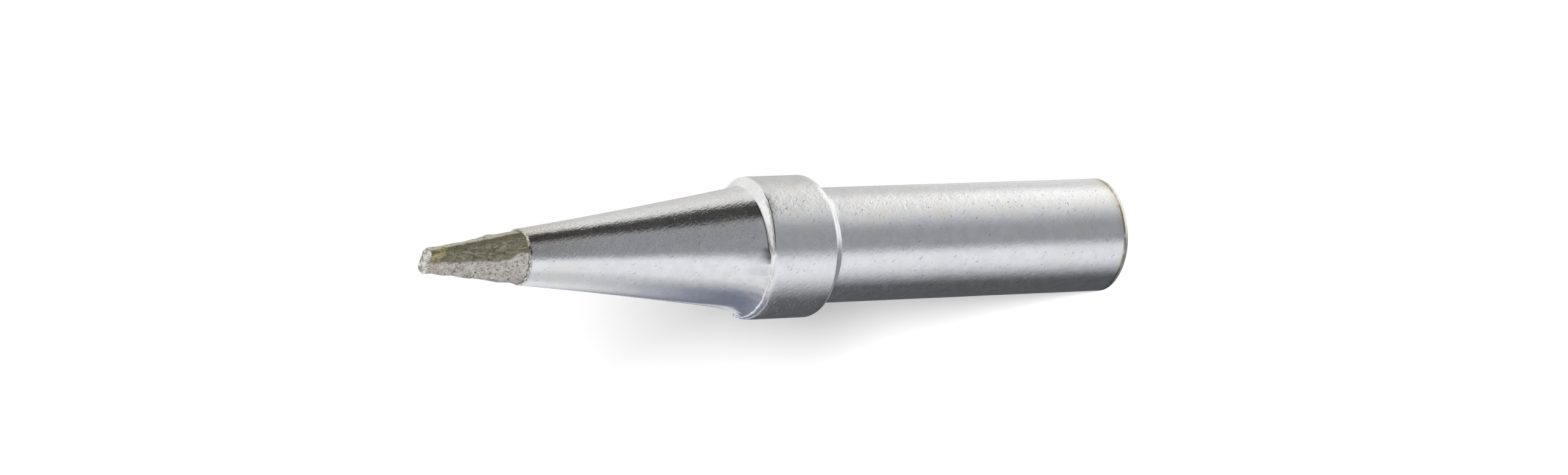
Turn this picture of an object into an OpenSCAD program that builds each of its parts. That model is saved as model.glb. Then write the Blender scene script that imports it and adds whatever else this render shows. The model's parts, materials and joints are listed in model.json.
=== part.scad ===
// Tip of a soldering iron, one turned piece: a plain shank that slides into the heater barrel,
// a collar that the sleeve nut clamps, a long concave cone and a ground, tinned blade.
// It rolls when it lies down, so it stands on its rear face, with its axis along Z.

/* [Shank] */
// Diameter of the shank
shank_d = 5.15; // [4:0.05:5.6]
// Length of the shank, from its rear face to the collar
shank_l = 15.75; // [12:0.25:30]
// Edge break round the rear face
rear_chamfer = 0.15; // [0.05:0.05:0.4]

/* [Collar] */
// Diameter of the collar
collar_d = 6.35; // [6.1:0.05:9]
// Width of the collar, from the shank to the face that the sleeve nut clamps
collar_w = 3.35; // [2:0.05:6]
// Fillet in the corner between the shank and the collar
collar_fillet = 0.25; // [0.05:0.05:0.5]
// Radius on the back edge of the collar
back_edge_r = 0.3; // [0.1:0.05:0.6]
// Length of the collar's crown, the shallow curve from its rim to the sharp front edge
crown_l = 0.7; // [0.3:0.05:1.5]
// Drop of the crown, from the rim to the front edge
crown_h = 0.13; // [0.05:0.01:0.25]

/* [Cone] */
// Diameter of the cone where it leaves the collar
cone_base_d = 5.52; // [4.5:0.02:5.58]
// Diameter of the cone at the edge of its plating
cone_end_d = 2.46; // [2:0.02:3.4]
// Length of the cone, from the clamped face to the edge of its plating
cone_l = 11.3; // [6:0.1:20]
// Hollow of the cone's flank, at its deepest below a straight line
flank_sag = 0.05; // [0.02:0.01:0.2]

/* [Working end] */
// Step down from the plating to the tinned iron
plating_step = 0.1; // [0.04:0.02:0.2]
// Length of the sloping face of that step
step_l = 0.2; // [0.1:0.05:0.4]
// Length of the tinned end, from the edge of the plating to the tip
tinned_l = 4.65; // [3.5:0.05:8]
// Width of the blade at the tip
blade_w = 1.26; // [0.9:0.02:1.6]
// Thickness of the blade at the tip
blade_t = 0.42; // [0.3:0.02:0.6]
// Radius on the two corners of the blade
corner_r = 0.22; // [0.1:0.02:0.28]
// Plain tinned length between the plating and the ground faces
land_l = 0.3; // [0.25:0.05:1]
// Turn of the blade round the axis: at 0 its width lies along Y
blade_turn = 48; // [0:1:180]

/* [Hidden] */
$fn = 96;
flank_steps = 16;
arc_steps = 6;

shank_r = shank_d / 2;
collar_r = collar_d / 2;
cone_base_r = cone_base_d / 2;
cone_end_r = cone_end_d / 2;
core_r = cone_end_r - plating_step;
blade_r = blade_w / 2;

// The collar's back face limits the fillet at its foot and the radius on its edge
back_face = collar_r - shank_r;
fillet_r = min(collar_fillet, 0.45 * back_face);
back_r = min(back_edge_r, 0.5 * back_face);

// The crown is an arc that starts level with the rim
crown_r = (crown_l * crown_l + crown_h * crown_h) / (2 * crown_h);
crown_turn = asin(crown_l / crown_r);

// Stations along the axis, from the rear face
face_at = shank_l + collar_w;
plating_at = face_at + cone_l;
core_at = plating_at + step_l;
tip_at = plating_at + tinned_l;

// The flank is an arc whose radius gives the sag at the middle of its chord
flank_chord = norm([cone_l, cone_base_r - cone_end_r]);
flank_bend_r = (flank_chord * flank_chord / 4 + flank_sag * flank_sag) / (2 * flank_sag);

// Each face of the blade is hollow, ground by a wheel that runs parallel to the face at the tip
ground_l = tinned_l - land_l;
ground_rise = blade_r + (core_r - blade_r) * ground_l / (tinned_l - step_l) - blade_t / 2;
wheel_r = (ground_l * ground_l + ground_rise * ground_rise) / (2 * ground_rise);
wheel_w = 2 * cone_end_d;

// Points of an arc round [x, y], from angle a to angle b
function arc_points(x, y, r, a, b, steps) =
    [for (i = [0 : steps]) let (t = a + (b - a) * i / steps) [x + r * cos(t), y + r * sin(t)]];

// Points of the hollow flank: the chord from base to end, with the arc's sag taken off
function flank_points(steps) =
    [for (i = [1 : steps])
        let (t = i / steps,
             across = (t - 0.5) * flank_chord,
             sag = sqrt(flank_bend_r * flank_bend_r - across * across) - flank_bend_r + flank_sag)
        [cone_base_r + (cone_end_r - cone_base_r) * t - sag, face_at + cone_l * t]];

// Half section of the turned blank, as [radius, station]
module blank_section() {
    polygon(concat(
        [[0, 0], [shank_r - rear_chamfer, 0], [shank_r, rear_chamfer]],
        arc_points(shank_r + fillet_r, shank_l - fillet_r, fillet_r, 180, 90, arc_steps),
        arc_points(collar_r - back_r, shank_l + back_r, back_r, -90, 0, arc_steps),
        arc_points(collar_r - crown_r, face_at - crown_l, crown_r, 0, crown_turn, arc_steps),
        [[cone_base_r, face_at]],
        flank_points(flank_steps),
        [[core_r, core_at]],
        arc_points(blade_r - corner_r, tip_at - corner_r, corner_r, 0, 90, arc_steps),
        [[0, tip_at]]
    ));
}

// The wheel's path on one side of the blade
module ground_face(side) {
    translate([side * (blade_t / 2 + wheel_r), 0, tip_at])
        rotate([90, 0, 0])
            cylinder(r = wheel_r, h = wheel_w, center = true);
}

module soldering_tip() {
    color([0.78, 0.78, 0.8])
        difference() {
            rotate_extrude() blank_section();
            rotate([0, 0, blade_turn])
                for (side = [-1, 1]) ground_face(side);
        }
}

soldering_tip();
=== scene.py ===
"""A used soldering tip standing on its rear face: plated shank, collar and cone, and a tinned blade.

The tip is one turned piece. Two meshes dress it: the plated skin, which ends in a ragged edge,
and the tinned core that comes out of it. Both are grids round the axis, in metres, +Z to the tip.
"""
import json
import math

import bpy
import numpy as np
from mathutils import Matrix, Vector


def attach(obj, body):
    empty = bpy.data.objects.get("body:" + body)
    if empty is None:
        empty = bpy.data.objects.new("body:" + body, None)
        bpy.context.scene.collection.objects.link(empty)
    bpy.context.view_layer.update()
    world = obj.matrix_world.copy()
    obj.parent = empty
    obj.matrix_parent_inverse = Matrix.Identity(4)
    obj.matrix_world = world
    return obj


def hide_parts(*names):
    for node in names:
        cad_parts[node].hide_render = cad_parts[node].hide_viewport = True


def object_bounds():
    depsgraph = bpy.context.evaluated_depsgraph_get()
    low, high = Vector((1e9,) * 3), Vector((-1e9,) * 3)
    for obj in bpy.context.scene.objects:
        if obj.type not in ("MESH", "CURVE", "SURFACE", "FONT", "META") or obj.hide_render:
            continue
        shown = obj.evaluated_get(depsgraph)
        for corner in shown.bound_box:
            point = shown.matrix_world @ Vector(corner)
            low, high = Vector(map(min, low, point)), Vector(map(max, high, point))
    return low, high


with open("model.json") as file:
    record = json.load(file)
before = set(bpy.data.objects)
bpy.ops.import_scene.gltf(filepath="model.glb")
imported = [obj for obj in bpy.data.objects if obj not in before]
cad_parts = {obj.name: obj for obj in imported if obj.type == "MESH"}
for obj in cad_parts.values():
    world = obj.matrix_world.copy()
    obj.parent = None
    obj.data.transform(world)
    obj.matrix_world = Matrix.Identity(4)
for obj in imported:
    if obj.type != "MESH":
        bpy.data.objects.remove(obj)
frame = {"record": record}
CAD_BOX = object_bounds()
MM = 0.001

# Sizes from the frame
MOUNTS = {mount["name"]: mount for mount in frame["record"]["mounts"]}
SHANK_R = MOUNTS["shank"]["dims"]["r_mm"] * MM
COLLAR_R = MOUNTS["collar_rim"]["dims"]["r_mm"] * MM
FACE_AT = MOUNTS["collar_face"]["pos_m"][2]
TIP_AT = CAD_BOX[1].z

# Columns of both grids round the axis
COLUMNS = 300

# Sizes of the plated skin
REAR_CHAMFER = 0.06 * MM
COLLAR_W = 3.35 * MM
COLLAR_FILLET = 0.4 * MM
BACK_EDGE_R = 0.3 * MM
CROWN_L = 0.7 * MM
CROWN_DROP = 0.012 * MM
CROWN_POWER, LOW_CROWN_POWER = 45, 13
EDGE_R = 3.05 * MM
LOW_EDGE_R = 3.08 * MM
LOW_FOOT_RISE = 0.27 * MM
FLARE_L = 0.38 * MM
CONE_BASE_R = 2.76 * MM
CONE_END_R = 1.23 * MM
CONE_L = 11.3 * MM
FLANK_SAG = 0.05 * MM
LIP_ROUND = 0.03 * MM
LIP_OVERLAP = 0.04 * MM
LIP_DEPTH = 0.3 * MM
SHANK_L = FACE_AT - COLLAR_W
PLATING_AT = FACE_AT + CONE_L

# The collar's sharp edge and the cone's foot are out of square: (offset from the clamped face, rise
# towards +X, rise towards +Y), where the rises are those at the edge's or the foot's own radius
EDGE_PLANE = (-0.08 * MM, -0.136 * MM, -0.229 * MM)
FOOT_PLANE = (-0.08 * MM, 0.171 * MM, -0.231 * MM)
EDGE_CHIPS = 0.011 * MM
FOOT_CHIPS = 0.004 * MM
LEAST_RING = 0.02 * MM

# The low side, by the cosine from -X: where it starts and where it is full
LOW_SIDE = (-0.08, 0.3)

# Relief of the skin: height and length of its waves and ripples, and the ragged end of the plating
WAVE_H, WAVE_L = 0.0016 * MM, 1.6 * MM
RIPPLE_H, RIPPLE_L = 0.0004 * MM, 0.45 * MM
WAVE_ROOM = 0.004 * MM
PLATING_RAG = 0.022 * MM

# Sizes of the tinned core
PLATING_STEP = 0.1 * MM
STEP_L = 0.2 * MM
LAND_L = 0.3 * MM
BLADE_R = 0.63 * MM
BLADE_T = 0.42 * MM
CORNER_R = 0.22 * MM
BLADE_TURN = math.radians(48)
GROUND_BLEND = 0.05 * MM
CORE_HIDDEN_L = 0.2 * MM
CORE_R = CONE_END_R - PLATING_STEP
CORE_AT = PLATING_AT + STEP_L
TINNED_L = TIP_AT - PLATING_AT

# Relief of the solder: lumps, crumbs, and the rim of solder drawn up against the plating
LUMP_H, LUMP_L = 0.016 * MM, 0.9 * MM
CRUMB_H, CRUMB_L = 0.006 * MM, 0.3 * MM
SOLDER_RIM_H, SOLDER_RIM_L = 0.7 * PLATING_STEP, 0.12 * MM

# The photograph's frame and view: the tip stands, so the camera lies on its side
PHOTO_W = 2576
FOCAL_PX = 10430
SENSOR = 36.0
CAMERA_AT = Vector((0.0, -240.1, 164.47)) * MM
CAMERA_AIM = Vector((0.408, 0.0, 16.8)) * MM
CAMERA_ROLL = math.radians(92.18)


# Profiles: lists of (station, radius) rows along the axis
def line(a, b, rows):
    """Straight run of rows from a to b, without b."""
    t = np.linspace(0, 1, rows, endpoint=False)[:, None]
    return np.array(a) * (1 - t) + np.array(b) * t


def arc(centre, across, along, start, end, rows):
    """Rows at centre + (along sin t, across cos t), for t from start to end in degrees, without the last."""
    t = np.radians(np.linspace(start, end, rows, endpoint=False))[:, None]
    return np.array(centre) + np.hstack([along * np.sin(t), across * np.cos(t)])


def flank_radius(station):
    """The cone's side: a chord from base to end, hollowed by FLANK_SAG times 1 - (2t - 1) squared."""
    t = (station - FACE_AT) / CONE_L
    return CONE_BASE_R + (CONE_END_R - CONE_BASE_R) * t - FLANK_SAG * (1 - (2 * t - 1) ** 2)


def tilted(plane, across, away):
    """Station of a plane that is out of square: FACE_AT + offset + rise_x across + rise_y away."""
    offset, rise_x, rise_y = plane
    return FACE_AT + offset + rise_x * across + rise_y * away


def collar_front(angle):
    """Stations of the collar's sharp edge and the cone's foot at each angle, and 1 on the low side.

    Both follow their tilted planes, with small chips, and the foot is never behind the edge.
    """
    across, away = np.cos(angle), np.sin(angle)
    edge_at = tilted(EDGE_PLANE, across, away) + EDGE_CHIPS * ragged(angle, 14, 6, 70)
    foot_at = tilted(FOOT_PLANE, across, away) + FOOT_CHIPS * ragged(angle, 15, 3, 20)
    return edge_at, np.maximum(foot_at, edge_at + LEAST_RING), ease(-across, *LOW_SIDE)


def skin_grid(columns):
    """Station, radius and angle of the plated skin, from the middle of the rear face to the lip.

    The crown drops by CROWN_DROP t^2 + (the rest) t^power, with a smaller power on the low side. There
    the cone rises to the front edge by LOW_FOOT_RISE exp(-(s - foot) / FLARE_L).
    """
    back = SHANK_L + BACK_EDGE_R
    crown_at = FACE_AT - CROWN_L
    lip_r = CORE_R - LIP_OVERLAP
    square = np.vstack([
        line((0, 0), (0, SHANK_R - REAR_CHAMFER), 10),
        line((0, SHANK_R - REAR_CHAMFER), (REAR_CHAMFER, SHANK_R), 4),
        line((REAR_CHAMFER, SHANK_R), (SHANK_L - COLLAR_FILLET, SHANK_R), 90),
        arc((SHANK_L - COLLAR_FILLET, SHANK_R + COLLAR_FILLET), COLLAR_FILLET, COLLAR_FILLET, 180, 90, 10),
        line((SHANK_L, SHANK_R + COLLAR_FILLET), (SHANK_L, COLLAR_R - BACK_EDGE_R), 2),
        arc((back, COLLAR_R - BACK_EDGE_R), BACK_EDGE_R, BACK_EDGE_R, -90, 0, 12),
        line((back, COLLAR_R), (crown_at, COLLAR_R), 16),
    ])
    station, radius, angle = turned(square, columns)
    edge_at, foot_at, low = collar_front(angle[:1])
    edge_r = EDGE_R + (LOW_EDGE_R - EDGE_R) * low
    foot_r = flank_radius(foot_at) + LOW_FOOT_RISE * low
    t = np.linspace(0, 1, 28, endpoint=False)[:, None] ** 0.5
    crown_s = crown_at + (edge_at - crown_at) * t
    edge_drop = COLLAR_R - CROWN_DROP - edge_r
    power = CROWN_POWER + (LOW_CROWN_POWER - CROWN_POWER) * low
    crown_r = COLLAR_R - CROWN_DROP * t ** 2 - edge_drop * t ** power
    t = np.linspace(0, 1, 6, endpoint=False)[:, None]
    face_s = edge_at + (foot_at - edge_at) * t
    face_r = edge_r + (foot_r - edge_r) * t
    t = np.linspace(0, 1, 140)[:, None] ** 1.5
    cone_s = foot_at + (PLATING_AT - foot_at) * t
    cone_r = flank_radius(cone_s) + LOW_FOOT_RISE * low * np.exp((foot_at - cone_s) / FLARE_L)
    lip = np.vstack([
        line((PLATING_AT + LIP_ROUND, CONE_END_R - LIP_ROUND), (PLATING_AT, lip_r), 3),
        line((PLATING_AT - LIP_DEPTH, lip_r), (PLATING_AT - LIP_DEPTH, 0), 3),
        [(PLATING_AT - LIP_DEPTH, 0)],
    ])
    lip_s, lip_radius, _ = turned(lip, columns)
    station = np.vstack([station, crown_s, face_s, cone_s, lip_s])
    radius = np.vstack([radius, crown_r, face_r, cone_r, lip_radius])
    return station, radius, np.broadcast_to(angle[:1], station.shape)


def core_profile():
    """Rows of the turned core before its faces are ground, from inside the skin to the middle of the tip."""
    inside = PLATING_AT - CORE_HIDDEN_L
    corner = TIP_AT - CORNER_R
    return np.vstack([
        line((inside, 0), (inside, CORE_R), 3),
        line((inside, CORE_R), (CORE_AT, CORE_R), 20),
        line((CORE_AT, CORE_R), (corner, BLADE_R), 190),
        arc((corner, BLADE_R - CORNER_R), CORNER_R, CORNER_R, 0, 90, 20),
        line((TIP_AT, BLADE_R - CORNER_R), (TIP_AT, 0), 30),
        [(TIP_AT, 0)],
    ])


def ground_half(station):
    """Half thickness left by the grinding wheels: a circle that is parallel to the axis at the tip."""
    ground_l = TINNED_L - LAND_L
    rise = BLADE_R + (CORE_R - BLADE_R) * ground_l / (TINNED_L - STEP_L) - BLADE_T / 2
    wheel_r = (ground_l ** 2 + rise ** 2) / (2 * rise)
    back = np.minimum(TIP_AT - station, wheel_r)
    return BLADE_T / 2 + wheel_r - np.sqrt(wheel_r ** 2 - back ** 2)


# Relief
def swell(points, size, seed, waves=28):
    """Smooth noise of about unit size: a sum of cosines of k.p + phase, each k about 2 pi / size long."""
    rng = np.random.default_rng(seed)
    k = rng.normal(size=(3, waves))
    k *= 2 * np.pi / size * rng.uniform(0.7, 1.4, waves) / np.linalg.norm(k, axis=0)
    phase = rng.uniform(0, 2 * np.pi, waves)
    return np.cos(points @ k + phase).sum(axis=-1) * math.sqrt(2 / waves)


def ragged(angle, seed, first, last):
    """Noise round the axis, of about unit size: cosines of whole numbers of waves from first to last."""
    rng = np.random.default_rng(seed)
    counts = np.arange(first, last)
    weights = 1 / np.sqrt(counts)
    phase = rng.uniform(0, 2 * np.pi, counts.size)
    waves = np.cos(angle[..., None] * counts + phase) * weights
    return waves.sum(axis=-1) / np.sqrt((weights ** 2).sum() / 2)


def ease(x, low, high):
    """0 below low, 1 above high, and 3t^2 - 2t^3 between."""
    t = np.clip((x - low) / (high - low), 0, 1)
    return t * t * (3 - 2 * t)


def soft_least(a, b, blend):
    """The lesser of a and b, rounded where they meet: (a + b - sqrt((a - b)^2 + blend^2)) / 2."""
    return (a + b - np.sqrt((a - b) ** 2 + blend ** 2)) / 2


# Meshes
def turned(profile, columns):
    """Grids of station, radius and angle: each row of the profile carried round the axis."""
    angle = np.linspace(0, 2 * np.pi, columns, endpoint=False)
    station = np.repeat(profile[:, :1], columns, axis=1)
    radius = np.repeat(profile[:, 1:], columns, axis=1)
    return station, radius, np.broadcast_to(angle, station.shape)


def points_of(station, radius, angle):
    """Points at radius (cos angle, sin angle) from the axis, at height station."""
    return np.stack([radius * np.cos(angle), radius * np.sin(angle), station], axis=-1)


def closed_mesh(name, points):
    """Mesh of a grid that closes round the axis, its first and last rows drawn together to a pole."""
    rows, columns = points.shape[:2]
    inner = points[1:-1].reshape(-1, 3)
    verts = np.vstack([points[0].mean(axis=0), inner, points[-1].mean(axis=0)])
    last = len(verts) - 1
    here = np.arange(columns)
    after = (here + 1) % columns
    start = 1 + np.arange(rows - 3)[:, None] * columns
    quads = np.stack([start + here, start + after, start + columns + after, start + columns + here], axis=-1)
    quads = quads.reshape(-1, 4)
    foot = np.column_stack([np.zeros(columns, int), 1 + after, 1 + here])
    top = 1 + (rows - 3) * columns
    head = np.column_stack([np.full(columns, last), top + here, top + after])
    mesh = bpy.data.meshes.new(name)
    mesh.from_pydata(verts.tolist(), [], foot.tolist() + quads.tolist() + head.tolist())
    mesh.polygons.foreach_set("use_smooth", np.ones(len(mesh.polygons), bool))
    piece = bpy.data.objects.new(name, mesh)
    bpy.context.scene.collection.objects.link(piece)
    return piece


def plated_skin():
    """The turned skin, with waves and ripples, drawn in by WAVE_ROOM, ragged where the plating ends."""
    station, radius, angle = skin_grid(COLUMNS)
    points = points_of(station, radius, angle)
    wave = WAVE_H * swell(points * (1, 1, 0.45), WAVE_L, 11) + RIPPLE_H * swell(points, RIPPLE_L, 12)
    outside = ease(radius, 0.4 * SHANK_R, 0.6 * SHANK_R) * ease(station, 0, 0.5 * MM)
    near_edge = ease(station, PLATING_AT - 0.8 * MM, PLATING_AT - 0.05 * MM)
    station = station + near_edge * PLATING_RAG * ragged(angle, 13, 3, 26)
    return closed_mesh("plated_skin", points_of(station, radius + outside * (wave - WAVE_ROOM), angle))


def tinned_core():
    """The core: the lesser of its turned radius and the ground faces, with lumps of solder on it."""
    station, radius, angle = turned(core_profile(), COLUMNS)
    across = np.abs(np.cos(angle - BLADE_TURN))
    face = ground_half(station) / np.maximum(across, 1e-3)
    radius = np.maximum(soft_least(radius, face, GROUND_BLEND), 0)
    points = points_of(station, radius, angle)
    lumps = LUMP_H * swell(points, LUMP_L, 21) + CRUMB_H * swell(points, CRUMB_L, 22)
    rim = SOLDER_RIM_H * np.exp(-np.maximum(station - PLATING_AT, 0) / SOLDER_RIM_L)
    on_side = ease(radius, 0.05 * MM, 0.3 * MM)
    return closed_mesh("tinned_core", points_of(station, radius + on_side * (lumps + rim), angle))


# Shader maths
class Tree:
    """A node tree that is built by calls: node() makes any node, and Socket does the arithmetic."""

    def __init__(self, nodes_of):
        self.tree = nodes_of.node_tree
        self.tree.nodes.clear()

    def node(self, kind, settings=None, inputs=None, output=0):
        """Adds a node, sets it up, fills its sockets with values or links, and gives one output."""
        made = self.tree.nodes.new(kind)
        for name, value in (settings or {}).items():
            setattr(made, name, value)
        for key, value in (inputs or {}).items():
            if isinstance(value, Socket):
                self.tree.links.new(value.socket, made.inputs[key])
            else:
                made.inputs[key].default_value = value
        return Socket(self, made.outputs[output]) if made.outputs else None

    def maths(self, operation, *values):
        """Math node on numbers and sockets."""
        return self.node("ShaderNodeMath", {"operation": operation}, dict(enumerate(values)))

    def mix(self, factor, first, second):
        """Colour mix of two colours, each a socket or three numbers."""
        pair = {6: first, 7: second}
        whole = {k: v if isinstance(v, Socket) else (*v, 1) for k, v in pair.items()}
        return self.node("ShaderNodeMix", {"data_type": "RGBA"}, {0: factor, **whole}, output=2)

    def noise(self, place, size, detail=2.0, rough=0.5, stretch=(1, 1, 1)):
        """Noise of about the given size in metres, stretched along each axis."""
        scaled = self.node("ShaderNodeVectorMath", {"operation": "MULTIPLY"},
                           {0: place, 1: tuple(1 / s for s in stretch)})
        inputs = {"Vector": scaled, "Scale": 1 / size, "Detail": detail, "Roughness": rough}
        return self.node("ShaderNodeTexNoise", {}, inputs)


class Socket:
    """An output socket. Arithmetic on it adds Math nodes."""

    def __init__(self, tree, socket):
        self.tree, self.socket = tree, socket

    def __add__(self, other):
        return self.tree.maths("ADD", self, other)

    def __radd__(self, other):
        return self.tree.maths("ADD", other, self)

    def __sub__(self, other):
        return self.tree.maths("SUBTRACT", self, other)

    def __rsub__(self, other):
        return self.tree.maths("SUBTRACT", other, self)

    def __mul__(self, other):
        return self.tree.maths("MULTIPLY", self, other)

    def __rmul__(self, other):
        return self.tree.maths("MULTIPLY", other, self)

    def __truediv__(self, other):
        return self.tree.maths("DIVIDE", self, other)

    def __rtruediv__(self, other):
        return self.tree.maths("DIVIDE", other, self)

    def most(self, other):
        """The greater of two values."""
        return self.tree.maths("MAXIMUM", self, other)

    def eased(self, low, high):
        """0 at low, 1 at high, smooth between."""
        settings = {"interpolation_type": "SMOOTHSTEP"}
        return self.tree.node("ShaderNodeMapRange", settings, {0: self, 1: low, 2: high})


def object_place(tree):
    """Object coordinates: the place, and its x, y and z."""
    place = tree.node("ShaderNodeTexCoord", output="Object")
    apart = {0: place}
    axes = [tree.node("ShaderNodeSeparateXYZ", {}, apart, output=i) for i in range(3)]
    return place, axes


def finish_tree(name):
    """New material and its empty node tree."""
    material = bpy.data.materials.new(name)
    material.use_nodes = True
    return material, Tree(material)


def surface(tree, **inputs):
    """Principled shader with the given sockets, joined to the output."""
    named = {key.replace("_", " "): value for key, value in inputs.items()}
    shader = tree.node("ShaderNodeBsdfPrincipled", {}, named)
    tree.node("ShaderNodeOutputMaterial", {}, {"Surface": shader})


# Slant of the plating's strokes, in degrees from the axis
STROKE_SLANT = 38

# Colours of the plating, clean and soiled, and the dark of its painted edge and crease shade
DULL_PLATE, BRIGHT_PLATE, WARM_PLATE = (0.79, 0.79, 0.79), (0.86, 0.855, 0.85), (0.82, 0.80, 0.74)
SPECKLE_GREY, PIT_GREY = (0.55, 0.54, 0.51), (0.2, 0.19, 0.18)
RIM_TAN, RIM_EDGE_SHADE_BROWN = (0.60, 0.52, 0.36), (0.26, 0.21, 0.1)
TIP_BROWN, LIP_OLIVE = (0.57, 0.53, 0.45), (0.26, 0.24, 0.13)
SHADE_AND_GRIME_BLACK = (0.09, 0.08, 0.06)

# Colours of the solder, from its upper side, olive with stain and darkened by painted shade, to its pale
# lower side and its end with a painted highlight
DARK_OLIVE, OLIVE, PALE_OLIVE = (0.095, 0.086, 0.055), (0.19, 0.175, 0.13), (0.27, 0.25, 0.19)
DEEP_OLIVE, TOP_TAN, FLUX_YELLOW = (0.075, 0.07, 0.035), (0.54, 0.515, 0.44), (0.40, 0.34, 0.15)
DARK_SOLDER, SOLDER, PALE_SOLDER = (0.22, 0.2, 0.175), (0.46, 0.435, 0.41), (0.6, 0.575, 0.55)
END_DARK, END_HIGHLIGHT = (0.2, 0.19, 0.16), (0.75, 0.74, 0.71)
SPECK_BLACK, STEP_SHADOW_BLACK = (0.05, 0.045, 0.035), (0.09, 0.085, 0.06)


def oblique(tree, place, degrees):
    """The place turned about Y, so that a stretched noise runs aslant on the camera's side."""
    inputs = {"Vector": place, "Angle": math.radians(degrees)}
    return tree.node("ShaderNodeVectorRotate", {"rotation_type": "Y_AXIS"}, inputs)


def front_shade_and_grime(x, y, z):
    """Thin dark lines beside the ring between the collar and the cone, on +X short of its top: painted shade
    in the crease at the cone's foot and a painted dark reflection at the collar's edge, with some dirt.
    """
    edge = z - tilted(EDGE_PLANE, x / EDGE_R, y / EDGE_R)
    foot = z - tilted(FOOT_PLANE, x / CONE_BASE_R, y / CONE_BASE_R)
    by_edge = edge.eased(-0.1 * MM, -0.07 * MM) * (1 - edge.eased(-0.02 * MM, 0.01 * MM))
    by_foot = foot.eased(-0.03 * MM, 0) * (1 - foot.eased(0.05 * MM, 0.09 * MM))
    return by_edge.most(by_foot) * x.eased(-0.45 * MM, -0.1 * MM) * (1 - x.eased(1.7 * MM, 2.3 * MM))


def plated_finish():
    """Bright plating: orange peel, slanting strokes, ticks and pits, stained at the rear rim and the tip,
    with painted shade lines at the rear chamfer's edge and beside the ring.
    """
    material, tree = finish_tree("plated_finish")
    place, (x, y, z) = object_place(tree)
    slant = oblique(tree, place, STROKE_SLANT)
    peel = tree.noise(place, 0.22 * MM, 3.0, 0.6)
    grain = tree.noise(place, 0.06 * MM, 2.0, 0.6)
    strokes = tree.noise(slant, 0.11 * MM, 3.0, 0.65, (1, 1, 3.5))
    ticks = tree.noise(slant, 0.12 * MM, 1.0, 0.5, (1, 1, 2.6)).eased(0.68, 0.74)
    pits = tree.noise(place, 0.14 * MM, 2.0, 0.5).eased(0.74, 0.79)
    cloud = tree.noise(place, 1.8 * MM, 3.0, 0.55)
    mottle = tree.noise(place, 0.45 * MM, 3.0, 0.6)
    on_cone = z.eased(FACE_AT, FACE_AT + 1.0 * MM)
    upper = (x + 0.1 * (z - FACE_AT)).eased(0.4 * MM, 1.2 * MM)
    height = peel + 0.25 * grain + (1.3 + on_cone * (2.6 * upper - 0.3)) * strokes
    height = height + 0.6 * ticks * (1 - 0.5 * on_cone) - 1.0 * pits
    bump = tree.node("ShaderNodeBump", {}, {"Strength": 1.0, "Distance": 0.0036 * MM, "Height": height})
    rough = 0.08 + 0.06 * cloud + 0.06 * mottle + 0.2 * pits
    rim = (1 - z.eased(0.0, 0.7 * MM)) * (0.35 + 0.65 * cloud.eased(0.35, 0.65))
    # A painted shade line at the rear chamfer's inner edge, brown, broken by the mottle
    rim_edge_shade = z.eased(0.13 * MM, 0.18 * MM) * (1 - z.eased(0.22 * MM, 0.3 * MM))
    near_tip = z.eased(PLATING_AT - 4 * MM, PLATING_AT) * x.eased(-0.15 * MM, 0.25 * MM)
    lip = z.eased(PLATING_AT - 0.14 * MM, PLATING_AT - 0.03 * MM) * grain.eased(0.4, 0.55)
    speckle = grain.eased(0.4, 0.62)
    on_near_cone = on_cone * x.eased(-0.4 * MM, 0.1 * MM)
    colour = tree.mix(mottle.eased(0.36, 0.66), DULL_PLATE, BRIGHT_PLATE)
    colour = tree.mix(cloud.eased(0.5, 0.7) * 0.6, colour, WARM_PLATE)
    colour = tree.mix(speckle * on_near_cone * 0.5, colour, SPECKLE_GREY)
    colour = tree.mix(rim * 0.7, colour, RIM_TAN)
    colour = tree.mix(near_tip * (0.25 + 0.7 * speckle), colour, TIP_BROWN)
    colour = tree.mix(rim_edge_shade * mottle.eased(0.3, 0.5) * 0.8, colour, RIM_EDGE_SHADE_BROWN)
    # Painted crease shade and a painted dark reflection beside the ring, with some dirt
    colour = tree.mix(front_shade_and_grime(x, y, z) * (0.3 + 0.6 * mottle), colour, SHADE_AND_GRIME_BLACK)
    colour = tree.mix(lip * 0.75, colour, LIP_OLIVE)
    colour = tree.mix(pits.most(ticks * 0.5) * 0.55, colour, PIT_GREY)
    surface(tree, Base_Color=colour, Metallic=1.0, Roughness=rough, Normal=bump)
    return material


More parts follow.
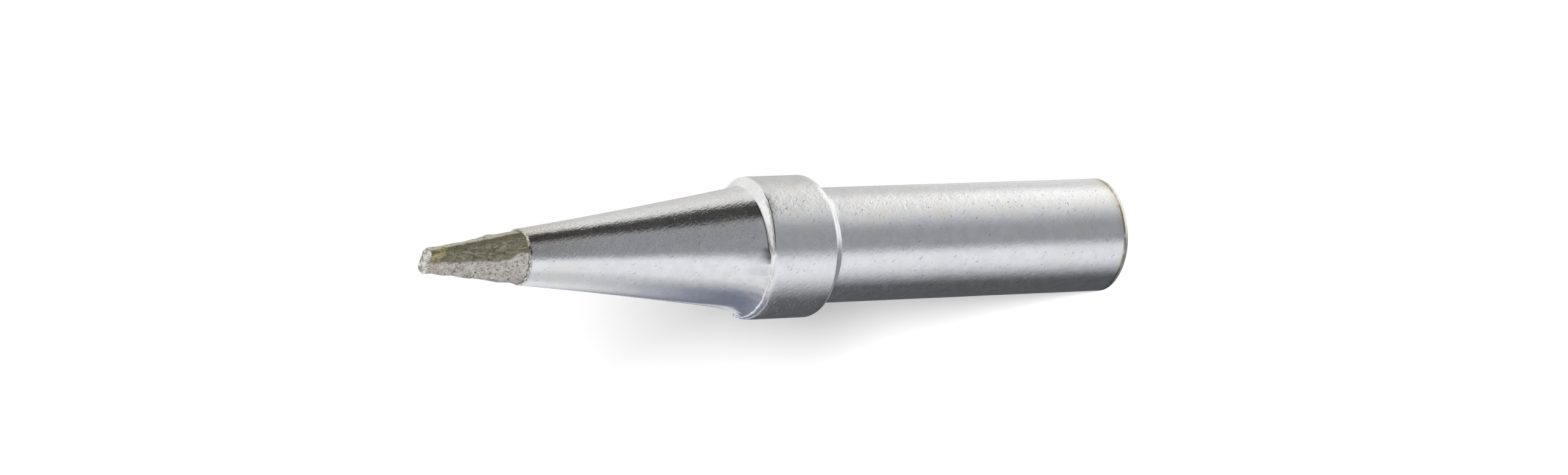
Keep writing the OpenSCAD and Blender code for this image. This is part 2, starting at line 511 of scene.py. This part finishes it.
def tinned_finish():
    """Used solder: olive brown on the upper side, part stain and part painted shade of the upper face, pale
    grey below and along the top, specks and flux, a painted highlight on the end and a painted shadow under
    the plating's step.
    """
    material, tree = finish_tree("tinned_finish")
    place, (x, _, z) = object_place(tree)
    coarse = tree.noise(place, 0.35 * MM, 3.0, 0.6)
    fine = tree.noise(place, 0.07 * MM, 3.0, 0.65)
    streak = tree.noise(place, 0.1 * MM, 3.0, 0.65, (1, 1, 5))
    patch = tree.noise(place, 0.27 * MM, 5.0, 0.75)
    specks = tree.noise(place, 0.12 * MM, 2.0, 0.5).eased(0.61, 0.67)
    wander = (coarse - 0.5) * (0.3 * MM)
    foot = 1 - z.eased(PLATING_AT + 0.35 * MM, PLATING_AT + 1.1 * MM)
    torn = wander + (patch - 0.5) * (0.35 * MM)
    # The upper side: darker olive, part stain and part painted shade of the upper face
    upper = (x + 0.14 * MM - 0.3 * MM * foot + torn).eased(-0.06 * MM, 0.06 * MM)
    top = (x + 0.146 * (z - PLATING_AT) - 1.07 * MM + 0.25 * wander).eased(-0.03 * MM, 0.03 * MM)
    below_top = (x + 0.146 * (z - PLATING_AT) - 0.9 * MM + 0.4 * wander).eased(-0.09 * MM, 0.06 * MM)
    end = (z - TIP_AT + 0.22 * MM + 0.6 * wander).eased(-0.05 * MM, 0.05 * MM)
    flux = z.eased(TIP_AT - 1.3 * MM, TIP_AT - 0.4 * MM) * coarse.eased(0.48, 0.58)
    lip = 1 - z.eased(PLATING_AT + 0.02 * MM, PLATING_AT + 0.1 * MM)
    brown = tree.mix(streak.eased(0.36, 0.7), DARK_OLIVE, OLIVE)
    brown = tree.mix(patch.eased(0.52, 0.66) * 0.75, brown, PALE_OLIVE)
    brown = tree.mix(below_top * 0.7, brown, DEEP_OLIVE)
    grey = tree.mix(patch.eased(0.28, 0.72), DARK_SOLDER, SOLDER)
    grey = tree.mix(fine.eased(0.52, 0.68) * 0.7, grey, PALE_SOLDER)
    colour = tree.mix(upper, grey, brown)
    colour = tree.mix(top * (0.5 + 0.5 * patch), colour, TOP_TAN)
    colour = tree.mix(flux * 0.6, colour, FLUX_YELLOW)
    colour = tree.mix(specks * 0.85, colour, SPECK_BLACK)
    # A painted highlight on the end of the blade, broken by dark spots
    end_highlight = tree.mix(patch.eased(0.4, 0.6), END_DARK, END_HIGHLIGHT)
    colour = tree.mix(end * 0.8, colour, end_highlight)
    # A painted shadow at the solder's foot, under the plating's step
    colour = tree.mix(lip * 0.8, colour, STEP_SHADOW_BLACK)
    rough = 0.45 + 0.2 * fine - 0.2 * end
    height = coarse + 0.5 * patch + 0.2 * fine + 0.3 * streak - 0.5 * specks
    bump = tree.node("ShaderNodeBump", {}, {"Strength": 1.0, "Distance": 0.012 * MM, "Height": height})
    surface(tree, Base_Color=colour, Metallic=0.45, Roughness=rough, Normal=bump)
    return material


# Studio
def toned(turn, start, changes):
    """Tone at a turn in degrees: the start, then each smooth change (from, to, tone) to its tone."""
    tone, last = start, start
    for low, high, following in changes:
        tone = tone + (following - last) * turn.eased(low, high)
        last = following
    return tone


# What the metal mirrors round the tip, in degrees from the camera's side towards +X: a dark side, a
# white card, a grey gap at the camera, a second card on the +X side and a pale wall, with a dark bar
# before the second card in RISING and LEVEL. Each is the tone that it starts from, then its smooth
# changes as (from, to, tone), and at 180 degrees it meets its own start at -180. UPRIGHT is seen in
# the shank, RIM in the collar, RISING in the cone, STEEP and LEVEL in edges.
STEEP = (1.15, [(-190, -170, 0.3), (-40, 45, 1.15), (170, 190, 0.3)])
UPRIGHT = (0.8, [(-200, -165, 0.1), (-100, -46, 0.85), (-28, -4, 0.35), (20, 98, 1.25), (98, 130, 0.8),
                 (160, 195, 0.1)])
RIM = (0.6, [(-200, -165, 0.1), (-100, -32, 0.95), (-32, -4, 0.35), (20, 60, 0.8), (60, 140, 0.6),
             (160, 195, 0.1)])
RISING = (0.75, [(-170, -115, 0.5), (-88, -48, 0.9), (-25, -2, 0.35), (48, 60, 0.05), (88, 99, 0.9),
                 (115, 140, 0.75)])
LEVEL = (0.95, [(-180, -120, 0.4), (-75, -25, 0.85), (-25, 25, 0.1), (44, 58, 0.95)])

# The same for how cool the grey is, and its tint where it is coolest
COOLNESS = (0, [(-210, -150, 1), (30, 70, 0), (150, 210, 1)])
COOL_TINT = (0.96, 1.0, 1.11)

# The tones over STEEP, from below to above, each with the two heights of the mirrored ray between which
# it takes over
LAYERS = [(UPRIGHT, -0.75, -0.65), (RIM, -0.545, -0.532), (RISING, -0.50, -0.455), (LEVEL, -0.2, -0.05)]
OVERHEAD_COLOUR = (1.05, 1.05, 1.06)
OVERHEAD_START, OVERHEAD_FULL = 0.66, 0.76
PLAIN_GLOW = (0.3, 0.3, 0.3)
WHITE = (1.0, 1.0, 1.0)
FLOOR_LIFT = 0.1
FLOOR_HALF = 0.8
FLOOR_GREY = (0.85, 0.85, 0.85, 1)

# The glowing card beside the cone: its bright tone, its painted shade and its painted shadow
CARD_WHITE, CARD_SHADE, CARD_SHADOW = (0.86, 0.87, 0.90), (0.40, 0.42, 0.47), (0.19, 0.21, 0.28)


def studio_world():
    """White to the camera, a plain grey glow on matt surfaces, and the studio's tones in the metal."""
    world = bpy.data.worlds.new("studio")
    world.use_nodes = True
    bpy.context.scene.world = world
    tree = Tree(world)
    towards = tree.node("ShaderNodeTexCoord", output="Generated")
    x, y, z = [tree.node("ShaderNodeSeparateXYZ", {}, {0: towards}, output=i) for i in range(3)]
    turn = tree.maths("ARCTAN2", x, 0.0 - y) * math.degrees(1)
    tone = toned(turn, *STEEP)
    for layer, low, high in LAYERS:
        tone = tone + (toned(turn, *layer) - tone) * z.eased(low, high)
    tint = tree.mix(toned(turn, *COOLNESS) * (1 - 0.5 * tone), WHITE, COOL_TINT)
    mirrored = tree.node("ShaderNodeVectorMath", {"operation": "SCALE"}, {0: tint, "Scale": tone})
    mirrored = tree.mix(z.eased(OVERHEAD_START, OVERHEAD_FULL), mirrored, OVERHEAD_COLOUR)
    seen = tree.node("ShaderNodeLightPath", output="Is Camera Ray")
    glossy = tree.node("ShaderNodeLightPath", output="Is Glossy Ray")
    colour = tree.mix(glossy, PLAIN_GLOW, mirrored)
    colour = tree.mix(seen, colour, WHITE)
    shader = tree.node("ShaderNodeBackground", {}, {"Color": colour, "Strength": 1.0})
    tree.node("ShaderNodeOutputWorld", {}, {"Surface": shader})


def flat_sheet(name, corners):
    """One flat sheet of the set, with the given corners."""
    mesh = bpy.data.meshes.new(name)
    mesh.from_pydata(corners, [], [(0, 1, 2, 3)])
    sheet = bpy.data.objects.new(name, mesh)
    bpy.context.scene.collection.objects.link(sheet)
    return sheet


def mirrored_card():
    """A glowing sheet close to the cone's -X side that only the metal sees, in painted tones: white, painted
    shade, and a cool painted shadow by the collar.
    """
    side, near, far, low, high = -6.5 * MM, -8 * MM, 13 * MM, 17.4 * MM, 46 * MM
    corners = [(side, near, low), (side, far, low), (side, far, high), (side, near, high)]
    card = flat_sheet("card", corners)
    material, tree = finish_tree("card_finish")
    _, (_, y, z) = object_place(tree)
    shadow = y.eased(-4.6 * MM, -0.6 * MM) * (1 - z.eased(18 * MM, 27 * MM))
    shade = y.eased(-6 * MM, -3 * MM) * (1 - y.eased(-1 * MM, 3 * MM))
    colour = tree.mix(shade * 0.4, CARD_WHITE, CARD_SHADE)
    colour = tree.mix(shadow, colour, CARD_SHADOW)
    shader = tree.node("ShaderNodeEmission", {}, {"Color": colour, "Strength": 1.0})
    tree.node("ShaderNodeOutputMaterial", {}, {"Surface": shader})
    card.data.materials.append(material)
    card.visible_camera = card.visible_diffuse = card.visible_shadow = card.visible_transmission = False


def pale_floor():
    """A matt floor that keeps the shadow, lifted to white for the camera, and clear to mirrored rays."""
    half = FLOOR_HALF
    floor = flat_sheet("floor", [(-half, -half, 0), (half, -half, 0), (half, half, 0), (-half, half, 0)])
    material, tree = finish_tree("floor_finish")
    seen = tree.node("ShaderNodeLightPath", output="Is Camera Ray")
    glossy = tree.node("ShaderNodeLightPath", output="Is Glossy Ray")
    matt = tree.node("ShaderNodeBsdfDiffuse", {}, {"Color": FLOOR_GREY})
    glow = tree.node("ShaderNodeEmission", {}, {"Color": (*WHITE, 1), "Strength": seen * FLOOR_LIFT})
    both = tree.node("ShaderNodeAddShader", {}, {0: matt, 1: glow})
    clear = tree.node("ShaderNodeBsdfTransparent")
    shader = tree.node("ShaderNodeMixShader", {}, {0: glossy, 1: both, 2: clear})
    tree.node("ShaderNodeOutputMaterial", {}, {"Surface": shader})
    floor.data.materials.append(material)


def soft_sun(name, azimuth, elevation, strength, spread):
    """A sun that shines from azimuth degrees round from -Y towards +X, at elevation degrees."""
    light = bpy.data.lights.new(name, "SUN")
    light.energy = strength
    light.angle = math.radians(spread)
    lamp = bpy.data.objects.new(name, light)
    bpy.context.scene.collection.objects.link(lamp)
    a, e = math.radians(azimuth), math.radians(elevation)
    source = Vector((math.sin(a) * math.cos(e), -math.cos(a) * math.cos(e), math.sin(e)))
    lamp.rotation_euler = source.to_track_quat("Z", "Y").to_euler()
    lamp.visible_glossy = False


def photo_camera():
    """The photograph's camera, rolled so that the standing tip lies level in the picture."""
    camera = bpy.data.cameras.new("camera")
    camera.sensor_width = SENSOR
    camera.lens = SENSOR * FOCAL_PX / PHOTO_W
    camera.clip_start, camera.clip_end = 0.01, 10
    holder = bpy.data.objects.new("camera", camera)
    bpy.context.scene.collection.objects.link(holder)
    ahead = (CAMERA_AIM - CAMERA_AT).normalized()
    side = ahead.cross(Vector((0, 0, 1))).normalized()
    level_up = side.cross(ahead)
    up = level_up * math.cos(CAMERA_ROLL) + side * math.sin(CAMERA_ROLL)
    right = ahead.cross(up)
    holder.matrix_world = Matrix.Translation(CAMERA_AT) @ Matrix((right, up, -ahead)).transposed().to_4x4()
    bpy.context.scene.camera = holder


def dress(piece, material):
    """Gives a piece its finish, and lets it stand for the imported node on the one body."""
    piece.data.materials.append(material)
    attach(piece, "root")
    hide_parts("soldering_tip")


bpy.context.scene.view_settings.view_transform = "Standard"
photo_camera()
studio_world()
pale_floor()
mirrored_card()
soft_sun("key", azimuth=3.2, elevation=35, strength=4.4, spread=9)
soft_sun("fill", azimuth=140, elevation=60, strength=0.3, spread=30)
dress(plated_skin(), plated_finish())
dress(tinned_core(), tinned_finish())
